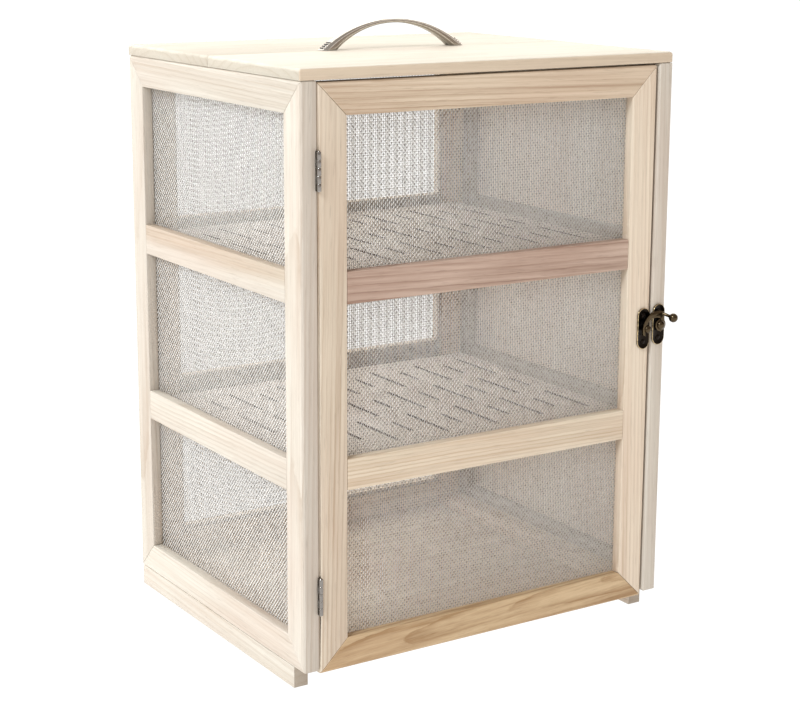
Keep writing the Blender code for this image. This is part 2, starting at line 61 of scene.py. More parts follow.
CAMERA_PLACE = (-0.8575, -1.3289, 0.6067)
CAMERA_YAW, CAMERA_PITCH, CAMERA_ROLL = 0.5720, 0.2143, 0.0045  # radians
CAMERA_LENS, CAMERA_SENSOR = 83.0, 36.0  # millimetres
CAMERA_SHIFT = -0.05
CAMERA_CLIP = (0.05, 60)


def camera():
    data = bpy.data.cameras.new("camera")
    data.lens = CAMERA_LENS
    data.sensor_width = CAMERA_SENSOR
    data.shift_y = CAMERA_SHIFT
    data.clip_start, data.clip_end = CAMERA_CLIP
    eye = bpy.data.objects.new("camera", data)
    turn = Matrix.Rotation(-CAMERA_YAW, 4, "Z") @ Matrix.Rotation(math.pi / 2 - CAMERA_PITCH, 4, "X")
    eye.matrix_world = Matrix.Translation(CAMERA_PLACE) @ turn @ Matrix.Rotation(CAMERA_ROLL, 4, "Z")
    bpy.context.collection.objects.link(eye)
    bpy.context.scene.camera = eye


# ---------------------------------------------------------------- light and floor

WHITE = (1, 1, 1, 1)
BACKDROP = 1.10  # the white that the camera sees, a little over-exposed, but wire still shows against it
AMBIENT = (0.60, 0.48, 0.39)
WASHES = (  # which way each soft wall of light lies, and its colour and strength
    ((0, 1, 0), (2.00, 1.96, 1.88)),
    ((-1, 0, 0), (0.10, 0.18, 0.25)),
    ((0, 0, 1), (0.10, 0.15, 0.19)),
)
WASH_EDGE = (-0.2, 0.8)  # cosines of the angle from a wall, between which its light fades in

KEY_TOWARDS = (-0.72, -0.30, 0.62)
KEY_STRENGTH = 1.85
KEY_COLOUR = (0.93, 1.0, 1.06)
KEY_WIDTH = math.radians(16)

FLOOR_SIZE = 12
FLOOR_COLOUR = (0.32, 0.32, 0.32, 1)
FLOOR_ROUGHNESS = 0.9
FLOOR_SPECULAR = 0.1
FLOOR_GLOW = 0.95  # the floor is a light table, which lights the object from below


def seen_directly(nodes, links, lighting, seen, output):
    """The room and the floor light the object with one shader and show as another, an even white."""
    path = nodes.new("ShaderNodeLightPath")
    mix = nodes.new("ShaderNodeMixShader")
    links.new(path.outputs["Is Camera Ray"], mix.inputs["Fac"])
    links.new(lighting, mix.inputs[1])
    links.new(seen, mix.inputs[2])
    links.new(mix.outputs[0], output.inputs["Surface"])


def room():
    """The room's light: bright behind, a little cooler to the left and overhead, dim and warm elsewhere."""
    world = bpy.data.worlds.new("studio")
    bpy.context.scene.world = world
    world.use_nodes = True
    nodes, links = world.node_tree.nodes, world.node_tree.links
    towards = nodes.new("ShaderNodeTexCoord").outputs["Generated"]
    total = None
    for wall, colour in WASHES:
        facing = nodes.new("ShaderNodeVectorMath")
        facing.operation = "DOT_PRODUCT"
        facing.inputs[1].default_value = wall
        links.new(towards, facing.inputs[0])
        reach = nodes.new("ShaderNodeMapRange")
        reach.interpolation_type = "SMOOTHSTEP"
        reach.inputs["From Min"].default_value, reach.inputs["From Max"].default_value = WASH_EDGE
        links.new(facing.outputs["Value"], reach.inputs["Value"])
        added = nodes.new("ShaderNodeVectorMath")
        added.operation = "MULTIPLY_ADD"
        links.new(reach.outputs["Result"], added.inputs[0])
        added.inputs[1].default_value = colour
        added.inputs[2].default_value = AMBIENT
        if total:
            links.new(total, added.inputs[2])
        total = added.outputs[0]
    light = nodes["Background"]
    links.new(total, light.inputs["Color"])
    backdrop = nodes.new("ShaderNodeBackground")
    backdrop.inputs["Color"].default_value = WHITE
    backdrop.inputs["Strength"].default_value = BACKDROP
    seen_directly(nodes, links, light.outputs[0], backdrop.outputs[0], nodes["World Output"])


def key_light():
    """A soft sun from the left, above and a little in front."""
    data = bpy.data.lights.new("key", "SUN")
    data.energy = KEY_STRENGTH
    data.color = KEY_COLOUR
    data.angle = KEY_WIDTH
    key = bpy.data.objects.new("key", data)
    key.rotation_mode = "QUATERNION"
    key.rotation_quaternion = Vector(KEY_TOWARDS).to_track_quat("Z", "Y")
    bpy.context.collection.objects.link(key)


def floor_finish():
    """Glowing grey that lights the object, and the backdrop's white where the camera sees it."""
    finish = bpy.data.materials.new("floor")
    finish.use_nodes = True
    nodes, links = finish.node_tree.nodes, finish.node_tree.links
    shader = nodes["Principled BSDF"]
    shader.inputs["Base Color"].default_value = FLOOR_COLOUR
    shader.inputs["Roughness"].default_value = FLOOR_ROUGHNESS
    shader.inputs["Specular IOR Level"].default_value = FLOOR_SPECULAR
    shader.inputs["Emission Color"].default_value = WHITE
    shader.inputs["Emission Strength"].default_value = FLOOR_GLOW
    seen = nodes.new("ShaderNodeEmission")
    seen.inputs["Strength"].default_value = BACKDROP
    seen_directly(nodes, links, shader.outputs[0], seen.outputs[0], nodes["Material Output"])
    return finish


def studio():
    """The room, the key and the floor."""
    bpy.context.scene.view_settings.view_transform = "Standard"
    room()
    key_light()
    bm = bmesh.new()
    bmesh.ops.create_grid(bm, x_segments=1, y_segments=1, size=FLOOR_SIZE)
    mesh = bpy.data.meshes.new("floor")
    bm.to_mesh(mesh)
    bm.free()
    mesh.materials.append(floor_finish())
    floor = bpy.data.objects.new("floor", mesh)
    bpy.context.collection.objects.link(floor)


# ---------------------------------------------------------------- material nodes

BAND_WAVES = (9, 9, 60)
BAND_SWING = 0.3  # how far a band's edge wanders either way, as a share of its width


def opaque(colour, factor=1.0):
    """A colour with full alpha, made lighter or darker by a factor."""
    return (*[min(1, channel * factor) for channel in colour], 1)


class Tree:
    """A material's nodes, made one call at a time. An input may be a value or another node's output."""

    def __init__(self, name):
        self.material = bpy.data.materials.new(name)
        self.material.use_nodes = True
        self.nodes = self.material.node_tree.nodes
        self.links = self.material.node_tree.links
        self.shader = self.nodes["Principled BSDF"]
        self.coordinates = self.nodes.new("ShaderNodeTexCoord")

    def put(self, socket, value):
        if isinstance(value, bpy.types.NodeSocket):
            self.links.new(value, socket)
        else:
            socket.default_value = value

    def node(self, kind, inputs, **settings):
        made = self.nodes.new(f"ShaderNode{kind}")
        for key, value in settings.items():
            setattr(made, key, value)
        for key, value in inputs.items():
            self.put(made.inputs[key], value)
        return made

    def math(self, operation, a, b=0.0, clamp=False):
        return self.node("Math", {0: a, 1: b}, operation=operation, use_clamp=clamp).outputs[0]

    def plus(self, a, b, clamp=False):
        return self.math("ADD", a, b, clamp)

    def minus(self, a, b):
        return self.math("SUBTRACT", a, b)

    def times(self, a, b):
        return self.math("MULTIPLY", a, b)

    def mapping(self, vector, scale=(1, 1, 1), location=(0, 0, 0), rotation=(0, 0, 0)):
        inputs = {"Vector": vector, "Scale": scale, "Location": location, "Rotation": rotation}
        return self.node("Mapping", inputs).outputs[0]

    def noise(self, place, waves, detail=2.0, roughness=0.5):
        """A noise with about so many waves a metre along each axis."""
        inputs = {"Vector": self.mapping(place, waves), "Scale": 1, "Detail": detail, "Roughness": roughness}
        return self.node("TexNoise", inputs).outputs["Fac"]

    def mix(self, factor, a, b, blend="MIX"):
        """A mix of two colours, which the node takes at its sockets 6 and 7 and gives at its output 2."""
        made = self.node("Mix", {}, data_type="RGBA", blend_type=blend)
        self.put(made.inputs[0], factor)
        self.put(made.inputs[6], a)
        self.put(made.inputs[7], b)
        return made.outputs[2]

    def ramp(self, value, *stops):
        """A grey ramp through (position, value) stops."""
        made = self.node("ValToRGB", {"Fac": value})
        ramp = made.color_ramp
        while len(ramp.elements) < len(stops):
            ramp.elements.new(0.5)
        for element, (place, level) in zip(ramp.elements, stops):
            element.position = place
            element.color = (level, level, level, 1)
        return made.outputs["Color"]

    def spread(self, value, start, end, low=0.0, high=1.0):
        """A value's stretch from start to end, spread over low to high and held there outside it."""
        inputs = {"Value": value, "From Min": start, "From Max": end, "To Min": low, "To Max": high}
        return self.node("MapRange", inputs).outputs["Result"]

    def layer(self, place, noise, stretch):
        """A noise, with one stretch of its values spread over 0 to 1."""
        return self.spread(self.noise(place, *noise), *stretch)

    def mark(self, name):
        """A value that the mesh carries, 0 where it has none."""
        return self.node("Attribute", {}, attribute_name=name).outputs["Fac"]

    def worn(self, place, waves, stretch, least):
        """How worn the rubbed edges are: 1 in spots, and least between them."""
        spots = self.noise(place, (waves, waves, waves), 3)
        return self.times(self.mark("rubbed"), self.spread(spots, *stretch, least))

    def tinted(self, colour, shade):
        """A colour made lighter or darker by a factor."""
        grey = self.node("CombineColor", {0: shade, 1: shade, 2: shade}).outputs[0]
        return self.mix(1.0, colour, grey, "MULTIPLY")

    def banded(self, colour, place, axis, start, end, tint):
        """A colour tinted more and more from start to end along one axis, with a wandering edge."""
        reach = self.node("SeparateXYZ", {0: place}).outputs[axis]
        swing = BAND_SWING * abs(end - start)
        wander = self.spread(self.noise(place, BAND_WAVES, 3), 0.3, 0.7, -swing, swing)
        share = self.spread(self.plus(reach, wander), start, end)
        return self.mix(share, colour, self.mix(1.0, colour, opaque(tint), "MULTIPLY"))

    def bump(self, height, strength, distance):
        inputs = {"Height": height, "Strength": strength, "Distance": distance}
        self.put(self.shader.inputs["Normal"], self.node("Bump", inputs).outputs["Normal"])


# ---------------------------------------------------------------- wood

GRAIN_TURN = ((0, 0, 0), (0, 0, -math.pi / 2), (0, math.pi / 2, 0))  # lays grain along x, y or z down on x
BEARING_PLAY = 18  # degrees

RING_UNIT = 0.314  # a Wave texture of scale 1 has a ring in this many metres
RING_KIND = {"wave_type": "RINGS", "rings_direction": "X", "wave_profile": "SAW"}
RING_WAVES = {"Distortion": 1.2, "Detail": 3.0, "Detail Scale": 0.8, "Detail Roughness": 0.6}
RING_SWAY, SWAY_WAVES = (0, 6 * MM, 8 * MM), (3, 16, 16)
LATE_WOOD = ((0.0, 0.15), (0.5, 0.10), (0.82, 0.55), (0.95, 1.0), (1.0, 0.2))  # its darkness across one ring

# A layer is a noise (waves a metre along and across the grain, detail, roughness) and the stretch it spreads.
BROAD = ((1.6, 38, 38), 3, 0.6), (0.35, 0.65)
STREAKS = ((2.5, 170, 170), 4, 0.7), (0.32, 0.68)
FIBRE = ((9, 620, 620), 4, 0.7), (0.3, 0.7)
PORES = ((45, 1100, 1100), 2, 0.6), (0.60, 0.72)
PATCHES = ((4, 14, 14), 3), (0.42, 0.68)
WOOD_SPOTS = 60, (0.4, 0.6), 0.15
END_GRAIN = (0.80, 0.95)  # how squarely a face has to lie across the grain to show its end

RING_DEPTHS = (0.15, 0.75)  # how deep the streak colour is in late wood, where broad bands are faint and bold
STREAK_DEPTH, STREAK_POWER = 0.55, 1.6
END_DEPTH = 0.5
PATCH_SHARE, PORE_SHARE, WORN_SHARE = 0.42, 0.28, 0.4
PATCH_GAINS = (1.12, 1.02, 1.04)  # a patch is the streak colour, redder
PORE_TONE, END_SHADE = 0.55, 0.80  # of the streak colour
WORN_TONE = 1.08  # of the light colour
FIBRE_TONES = (1.05, 0.93)
# the dark brown of the shelves' slot walls
SLOT_WALL_DARK = (0.085, 0.050, 0.035)

WOOD_ROUGHNESS = (0.50, 0.72)
LATE_ROUGHNESS, WORN_POLISH = 0.06, 0.12
WOOD_SPECULAR = 0.35
FIBRE_RELIEF, LATE_RELIEF, PORE_DEPTH = -0.5, 0.2, 0.5
WOOD_BUMP = 0.4, 0.25 * MM


def late_wood(tree, board, ring):
    """The dark wood in growth rings round the board's own x axis, which sway along it."""
    sway = {0: RING_SWAY, "Scale": tree.noise(board, SWAY_WAVES)}
    sway = tree.node("VectorMath", sway, operation="SCALE").outputs[0]
    swayed = tree.node("VectorMath", {0: board, 1: sway}, operation="ADD").outputs[0]
    waves = {"Vector": swayed, "Scale": RING_UNIT / ring, **RING_WAVES}
    rings = tree.node("TexWave", waves, **RING_KIND).outputs["Fac"]
    return tree.ramp(rings, *LATE_WOOD)


def wood(name, centre, axis, light, streak, seed, ring=4 * MM, pith=70 * MM, bearing=90, lean=0.02,
         contrast=1.0, end_tone=0.45, band=None):
    """Bare planed softwood: growth rings round a pith, straight streaks, fibres and pores along one axis.

    bearing is the way to the pith, in degrees round the grain, and lean, in radians, is how far the rings
    tilt along it. end_tone is how much the end grain darkens. band is an axis, a start and an end along it
    from the board's middle, and a tint.
    """
    random = np.random.default_rng(seed)
    tree = Tree(name)
    turn = math.radians(bearing + random.uniform(-BEARING_PLAY, BEARING_PLAY))
    away = (random.uniform(-1, 1), pith * math.cos(turn), pith * math.sin(turn))
    tilt = (0, lean * random.choice((-1, 1)), lean * random.uniform(-1, 1))
    middle = tree.mapping(tree.coordinates.outputs["Object"], location=tuple(-c for c in centre))
    along = tree.mapping(middle, rotation=GRAIN_TURN[axis])
    board = tree.mapping(along, location=away, rotation=tilt)
    late = late_wood(tree, board, ring)
    broad = tree.layer(board, *BROAD)
    streaks = tree.layer(board, *STREAKS)
    fibre = tree.layer(board, *FIBRE)
    pores = tree.layer(board, *PORES)
    patches = tree.layer(board, *PATCHES)
    facing = tree.node("SeparateXYZ", {0: tree.coordinates.outputs["Normal"]}).outputs[axis]
    end = tree.spread(tree.math("ABSOLUTE", facing), *END_GRAIN)

    faint, bold = RING_DEPTHS
    depth = tree.times(late, tree.spread(broad, 0, 1, faint, bold * contrast))
    depth = tree.plus(depth, tree.times(tree.math("POWER", streaks, STREAK_POWER), STREAK_DEPTH * contrast))
    depth = tree.plus(depth, tree.times(tree.times(end, late), END_DEPTH), clamp=True)
    colour = tree.mix(depth, opaque(light), opaque(streak))
    patch = opaque([channel * gain for channel, gain in zip(streak, PATCH_GAINS)])
    colour = tree.mix(tree.times(patches, PATCH_SHARE), colour, patch)
    colour = tree.tinted(colour, tree.spread(fibre, 0, 1, *FIBRE_TONES))
    colour = tree.mix(tree.times(pores, PORE_SHARE), colour, opaque(streak, PORE_TONE))
    colour = tree.mix(tree.times(end, end_tone), colour, opaque(streak, END_SHADE))
    worn = tree.worn(along, *WOOD_SPOTS)
    colour = tree.mix(tree.times(worn, WORN_SHARE), colour, opaque(light, WORN_TONE))
    if band:
        colour = tree.banded(colour, middle, *band)
    # the walls of the shelves' slots turn dark brown
    colour = tree.mix(tree.mark("dark_slot_wall"), colour, opaque(SLOT_WALL_DARK))
    tree.put(tree.shader.inputs["Base Color"], colour)

    rough = tree.plus(tree.spread(fibre, 0, 1, *WOOD_ROUGHNESS), tree.times(late, LATE_ROUGHNESS))
    tree.put(tree.shader.inputs["Roughness"], tree.minus(rough, tree.times(worn, WORN_POLISH)))
    tree.shader.inputs["Specular IOR Level"].default_value = WOOD_SPECULAR
    relief = tree.plus(tree.times(fibre, FIBRE_RELIEF), tree.times(late, LATE_RELIEF))
    tree.bump(tree.minus(relief, tree.times(pores, PORE_DEPTH)), *WOOD_BUMP)
    return tree.material


# ---------------------------------------------------------------- metal

CLOUD = ((180, 180, 180), 3, 0.6), (0.3, 0.7)
FLECK_TONE = 1.8
METAL_GRAIN = (2600, 2600, 2600)
METAL_SPOTS = 420, (0.35, 0.6), 0.45
METAL_POLISH = 0.08
CLOUD_RELIEF = 0.5
METAL_BUMP = 0.12, 0.05 * MM

MOTTLE = ((260, 260, 260), 3, 0.6), (0.3, 0.7)
WIRE_GRAIN = (5200, 5200, 5200)
# painted shade for the hollows, mottled, and a painted highlight for the crowns
WIRE_HOLLOW_SHADE = (0.13, 0.112, 0.094), (0.21, 0.188, 0.160)
WIRE_HIGHLIGHT = (1.0, 0.985, 0.95)
HIGHLIGHT_FROM = (0.25, 0.55)  # crown values, between which the wire turns from painted shade to painted highlight
HIGHLIGHT_PLAY = 0.1  # how far mottling shifts them
WIRE_ROUGHNESS = (0.45, 0.22)  # in the painted shade and under the painted highlight
WIRE_METALLIC = 0.4
WIRE_BUMP = 0.1, 0.02 * MM


def metal(name, colour, worn_colour, roughness, spread, fleck=0.25):
    """Metal with a cloudy finish, a fine grain and rubbed edges."""
    tree = Tree(name)
    place = tree.coordinates.outputs["Object"]
    cloud = tree.layer(place, *CLOUD)
    fine = tree.noise(place, METAL_GRAIN)
    tone = tree.mix(tree.times(cloud, fleck), opaque(colour), opaque(colour, FLECK_TONE))
    worn = tree.worn(place, *METAL_SPOTS)
    tree.put(tree.shader.inputs["Base Color"], tree.mix(worn, tone, opaque(worn_colour)))
    rough = tree.spread(cloud, 0, 1, roughness - spread, roughness + spread)
    tree.put(tree.shader.inputs["Roughness"], tree.minus(rough, tree.times(worn, METAL_POLISH)))
    tree.shader.inputs["Metallic"].default_value = 1.0
    tree.bump(tree.plus(fine, tree.times(cloud, CLOUD_RELIEF)), *METAL_BUMP)
    return tree.material


def wire_finish():
    """Galvanised wire, mottled, with a painted highlight on the crowns of the crimped wires and painted shade
    in the hollows.
    """
    tree = Tree("screen_wire")
    place = tree.coordinates.outputs["Object"]
    mottle = tree.layer(place, *MOTTLE)
    fine = tree.noise(place, WIRE_GRAIN)
    crown = tree.mark("crown")
    shifted = tree.plus(crown, tree.spread(mottle, 0, 1, -HIGHLIGHT_PLAY, HIGHLIGHT_PLAY))
    highlight = tree.spread(shifted, *HIGHLIGHT_FROM)
    hollow_shade = tree.mix(mottle, *[opaque(colour) for colour in WIRE_HOLLOW_SHADE])
    # painted highlight on the crowns, painted shade in the hollows
    tree.put(tree.shader.inputs["Base Color"], tree.mix(highlight, hollow_shade, opaque(WIRE_HIGHLIGHT)))
    tree.put(tree.shader.inputs["Roughness"], tree.spread(highlight, 0, 1, *WIRE_ROUGHNESS))
    tree.shader.inputs["Metallic"].default_value = WIRE_METALLIC
    tree.bump(fine, *WIRE_BUMP)
    return tree.material


# ---------------------------------------------------------------- shapes

MERGE = MM / 1000
LEVEL = math.radians(0.5)  # faces that meet more flatly than this are one face
CREASE = math.radians(35)  # edges sharper than this are rounded
SHARP = math.radians(45)  # edges sharper than this stay sharp in the shading
EASE_SEGMENTS, WIDE_SEGMENTS = 2, 4
WALL = 0.9  # a face whose normal rises or falls less than this is upright
SHELVES = ("shelf_lower", "shelf_upper")


def stand(name, mesh, body, finish, slot, *nodes):
    """Makes a piece that rides on a body and stands for the CAD nodes that are given, if any."""
    piece = bpy.data.objects.new(name, mesh)
    bpy.context.collection.objects.link(piece)
    mesh.materials.clear()
    mesh.materials.append(finish)
    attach(piece, body)
    if nodes:
        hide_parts(*nodes)
    return piece


def creases(bm):
    return [e for e in bm.edges if len(e.link_faces) == 2 and e.calc_face_angle(0) > CREASE]


def cleaned(bm):
    """Dissolves the flat edges that a Boolean and a triangle mesh leave."""
    bmesh.ops.remove_doubles(bm, verts=bm.verts, dist=MERGE)
    flat = [e for e in bm.edges if len(e.link_faces) == 2 and e.calc_face_angle(0) < LEVEL]
    bmesh.ops.dissolve_edges(bm, edges=flat, use_verts=False)
    spare = [v for v in bm.verts if len(v.link_edges) == 2 and abs(v.calc_edge_angle(0)) < LEVEL]
    bmesh.ops.dissolve_verts(bm, verts=spare)


def round_off(bm, edges, width, segments=EASE_SEGMENTS):
    """Rounds edges and marks the faces that this makes as rubbed."""
    rubbed = bm.faces.layers.float.get("rubbed") or bm.faces.layers.float.new("rubbed")
    how = {"affect": "EDGES", "profile": 0.5, "clamp_overlap": True}
    for face in bmesh.ops.bevel(bm, geom=edges, offset=width, segments=segments, **how)["faces"]:
        face[rubbed] = 1.0


def finished(bm, name):
    """A smooth-shaded mesh that keeps its sharp corners."""
    mesh = bpy.data.meshes.new(name)
    bm.to_mesh(mesh)
    bm.free()
    mesh.shade_smooth()
    mesh.set_sharp_from_angle(angle=SHARP)
    return mesh


def mark_slots(bm, low, high):
    """Marks the walls of a shelf's slots, which the wood colours dark brown."""
    dark_slot_wall = bm.faces.layers.float.new("dark_slot_wall")
    for face in bm.faces:
        centre = face.calc_center_median()
        inside = all(low[i] + MM < centre[i] < high[i] - MM for i in (0, 1))
        face[dark_slot_wall] = float(inside and abs(face.normal.z) < WALL)


def refined(node, finish, width, wide=None, wide_width=0.0):
    """A CAD node's own shape with its edges eased, standing for the node; wide picks edges to round more."""
    bm = bmesh.new()
    bm.from_mesh(frame["nodes"][node].data)
    cleaned(bm)
    if wide:
        round_off(bm, [e for e in creases(bm) if wide(e)], wide_width, WIDE_SEGMENTS)
    round_off(bm, creases(bm), width)
    if node in SHELVES:
        mark_slots(bm, *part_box(node))
    return stand(f"{node}_fine", finished(bm, f"{node}_fine"), body_of[node], finish, slot_of[node], node)


# ---------------------------------------------------------------- woven wire

WIRE_PITCHES = (1.81 * MM, 2.10 * MM)  # between upright wires and between level ones
WIRES = (0.34 * MM, 0.64 * MM)  # level wires are thin and nearly straight, upright ones thick and crimped
CRIMPS = (0.08 * MM, 0.46 * MM)  # how far each swings either side of the screen's plane
LEVEL_CROWN = 0.35  # the level wires lie deeper, so little of them takes the painted highlight
WIRE_CORNERS = [(math.cos(a), math.sin(a)) for a in (math.pi / 4 + i * math.pi / 2 for i in range(4))]


def wires(lines, crossings, reach, way):
    """Corner rings along wires laid at lines, each over one crossing and under the next, and their crowns."""
    along = np.concatenate([[reach[0]], crossings, [reach[1]]])
    turn = np.arange(len(lines))[:, None] + np.arange(len(along))[None, :] + way
    lift = np.where(turn % 2, 1.0, -1.0) * CRIMPS[way]
    rings = np.zeros((len(lines), len(along), 4, 3))
    for corner, (cos, sin) in enumerate(WIRE_CORNERS):
        rings[:, :, corner, 0] = along
        rings[:, :, corner, 1] = lines[:, None] + WIRES[way] / 2 * cos
        rings[:, :, corner, 2] = lift + WIRES[way] / 2 * sin
    crowns = np.sign(lift)[:, :, None] * [sin for _, sin in WIRE_CORNERS] > 0
    return rings, crowns.astype(np.float32)


def tubes(rings, start):
    """Quads that skin and cap wires whose vertices are numbered from start."""
    count, length = rings.shape[:2]
    ids = start + np.arange(count * length * 4).reshape(count, length, 4)
    after = np.roll(ids, -1, axis=2)
    sides = np.stack([ids[:, :-1], ids[:, 1:], after[:, 1:], after[:, :-1]], -1)
    return [sides.reshape(-1, 4), ids[:, 0], ids[:, -1, ::-1]]


def wire_mesh(name, points, quads, crowns):
    """Four-sided wires that carry their crowns, shaded as if round, with a sharp edge at each bend."""
    mesh = bpy.data.meshes.new(name)
    mesh.vertices.add(len(points))
    mesh.vertices.foreach_set("co", points.ravel())
    mesh.loops.add(quads.size)
    mesh.loops.foreach_set("vertex_index", quads.ravel())
    mesh.polygons.add(len(quads))
    mesh.polygons.foreach_set("loop_start", np.arange(0, quads.size, 4))
    mesh.update(calc_edges=True)
    mesh.shade_smooth()
    ends = np.empty(len(mesh.edges) * 2, np.int32)
    mesh.edges.foreach_get("vertices", ends)
    bends = ends[0::2] // 4 == ends[1::2] // 4
    mesh.attributes.new("sharp_edge", "BOOLEAN", "EDGE").data.foreach_set("value", bends)
    mesh.attributes.new("crown", "FLOAT", "POINT").data.foreach_set("value", crowns.astype(np.float32))
    return mesh


def woven(name, low, high, plane, across, finish, node):
    """Plain-woven wire that fills a rectangle.

    low and high are the rectangle's corners along the across axis and z, and plane is its place on the third
    axis.
    """
    counts = [max(2, round((b - a) / pitch)) for a, b, pitch in zip(low, high, WIRE_PITCHES)]
    places = [np.linspace(a, b, n + 1)[:-1] + (b - a) / n / 2 for a, b, n in zip(low, high, counts)]
    level, _ = wires(places[1], places[0], (low[0], high[0]), 0)
    upright, crowns = wires(places[0], places[1], (low[1], high[1]), 1)
    upright = upright[..., [1, 0, 2]]
    crowns = np.concatenate([np.full(level.size // 3, LEVEL_CROWN), crowns.ravel()])
    quads = np.concatenate(tubes(level, 0) + [face[:, ::-1] for face in tubes(upright, level.size // 3)])
    points = np.concatenate([level.reshape(-1, 3), upright.reshape(-1, 3)])
    placed = np.zeros_like(points)
    placed[:, across] = points[:, 0]
    placed[:, 2] = points[:, 1]
    placed[:, 1 - across] = plane + points[:, 2] * (1 if across else -1)
    return stand(name, wire_mesh(name, placed, quads, crowns), body_of[node], finish, "screen_wire", node)


def middle_height(node):
    low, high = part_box(node)
    return (low[2] + high[2]) / 2


def screen(frame_name, across, finish):
    """Three bays of wire in one frame, split behind its middle rails."""
    node = f"{frame_name}_screen"
    low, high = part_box(node)
    plane = (low[1 - across] + high[1 - across]) / 2
    middles = [middle_height(f"{frame_name}_rail_{which}") for which in ("lower", "upper")]
    edges = [low[2], *middles, high[2]]
    for bay, bottom, top in zip(("bottom", "middle", "top"), edges, edges[1:]):
        corner, far = (low[across], bottom), (high[across], top)
        woven(f"{frame_name}_wire_{bay}", corner, far, plane, across, finish, node)


# ---------------------------------------------------------------- the cabinet

PALE = ((0.575, 0.535, 0.465), (0.425, 0.355, 0.28))  # each pair is a board's light colour and its streaks
CREAM = ((0.70, 0.62, 0.49), (0.49, 0.38, 0.265))
WARM = ((0.69, 0.605, 0.485), (0.46, 0.35, 0.25))
TAN = ((0.64, 0.525, 0.395), (0.37, 0.26, 0.17))
GOLDEN = ((0.59, 0.44, 0.27), (0.33, 0.205, 0.10))
ROSY = ((0.53, 0.40, 0.32), (0.24, 0.145, 0.10))
# The shelves, the right panel and the inside boards are made far lighter than the outside pine: painted light
# for the dim inside.
GREYED_PAINTED_LIGHT = ((0.90, 0.845, 0.78), (0.68, 0.60, 0.53))
PANEL_PAINTED_LIGHT = ((0.93, 0.865, 0.76), (0.68, 0.57, 0.45))
INNER_PAINTED_LIGHT = ((0.84, 0.73, 0.59), (0.60, 0.47, 0.34))
TOP = ((0.565, 0.53, 0.45), (0.45, 0.39, 0.305))

OUTSIDE = (0.65, 0.635, 0.62)  # tints the outer faces of boards whose inner faces are the lighter ones, which takes the painted light off the outside
TOP_FRONT = (1.0, 0.88, 0.78)  # tints the front edge of the top
SHADED = (0.86, 0.79, 0.72)  # tints the upper part of one rail

EASE = 0.5 * MM
THIN_EASE = 0.4 * MM
TOP_EASE = 0.7 * MM
TOP_ROUND = 2.4 * MM

RAILS = ("rail_bottom", "rail_lower", "rail_upper", "rail_top")
TOP_BOARDS = ("top_board_front", "top_board_rear")
THIN_BOARDS = (*SHELVES, "right_panel", "floor_board")
FIRST_SEED = 11  # each board takes the next seed, in the order of the nodes' names


def outer_top_edges(level):
    """Picks the edges at a level that lie on the outline of the top boards."""
    boxes = [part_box(node) for node in TOP_BOARDS]
    x_low, y_low, _ = np.min([low for low, _ in boxes], axis=0)
    x_high, y_high, _ = np.max([high for _, high in boxes], axis=0)

    def on_outline(edge):
        ends = [vert.co for vert in edge.verts]
        if any(abs(end.z - level) > MM / 10 for end in ends):
            return False
        return any(
            all(abs(end[axis] - side) < MM for end in ends)
            for axis, side in ((0, x_low), (0, x_high), (1, y_low), (1, y_high))
        )

    return on_outline


def half_depth(node):
    low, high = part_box(node)
    return (high[1] - low[1]) / 2


def side_boards():
    """The boards of the left and right sides: each one's grain axis, colours and options for wood()."""
    boards = {}
    for side in ("left", "right"):
        for member in RAILS:
            boards[f"{side}_{member}"] = (1, PALE, {})
        for member in ("stile_front", "stile_rear"):
            boards[f"{side}_{member}"] = (2, PALE, {})
        boards[f"foot_rail_{side}"] = (1, PALE, {"ring": 6 * MM, "end_tone": 0.8})
        boards[f"floor_batten_{side}"] = (1, INNER_PAINTED_LIGHT, {})
        for shelf in ("lower", "upper"):
            boards[f"shelf_cleat_{shelf}_{side}"] = (1, INNER_PAINTED_LIGHT, {})
    boards["left_rail_upper"] = (1, PALE, {"band": (2, -4 * MM, 6 * MM, SHADED)})
    panel = {"ring": 8 * MM, "pith": 140 * MM, "bearing": 0, "contrast": 0.6}
    # the panel's inner face keeps the painted light, its outer face is tinted
    boards["right_panel"] = (2, PANEL_PAINTED_LIGHT, {"band": (0, -0.5 * MM, 0.5 * MM, OUTSIDE), **panel})
    return boards


def rear_and_door_boards():
    """The boards of the rear and door frames; each door rail is from its own kind of board."""
    boards = {}
    behind = half_depth("rear_rail_top")
    # the rear frame's outer faces are tinted, its inner faces keep the painted light
    outer = {"band": (1, behind - 4 * MM, behind - 2 * MM, OUTSIDE)}
    for name, colours, more in (("rear", INNER_PAINTED_LIGHT, outer), ("door", WARM, {})):
        for member in RAILS:
            boards[f"{name}_{member}"] = (0, colours, {"contrast": 1.2, **more})
        for member in ("stile_left", "stile_right"):
            boards[f"{name}_{member}"] = (2, colours, {"contrast": 1.2, **more})
    near_pith = {"ring": 5 * MM, "pith": 26 * MM, "bearing": 0, "lean": 0.05}
    boards["door_rail_bottom"] = (0, GOLDEN, {"contrast": 1.7, **near_pith})
    boards["door_rail_lower"] = (0, CREAM, {"contrast": 1.5, "ring": 3 * MM})
    boards["door_rail_upper"] = (0, ROSY, {"contrast": 1.3, "ring": 6 * MM, "lean": 0.04})
    boards["door_rail_top"] = (0, TAN, {"contrast": 1.4})
    return boards


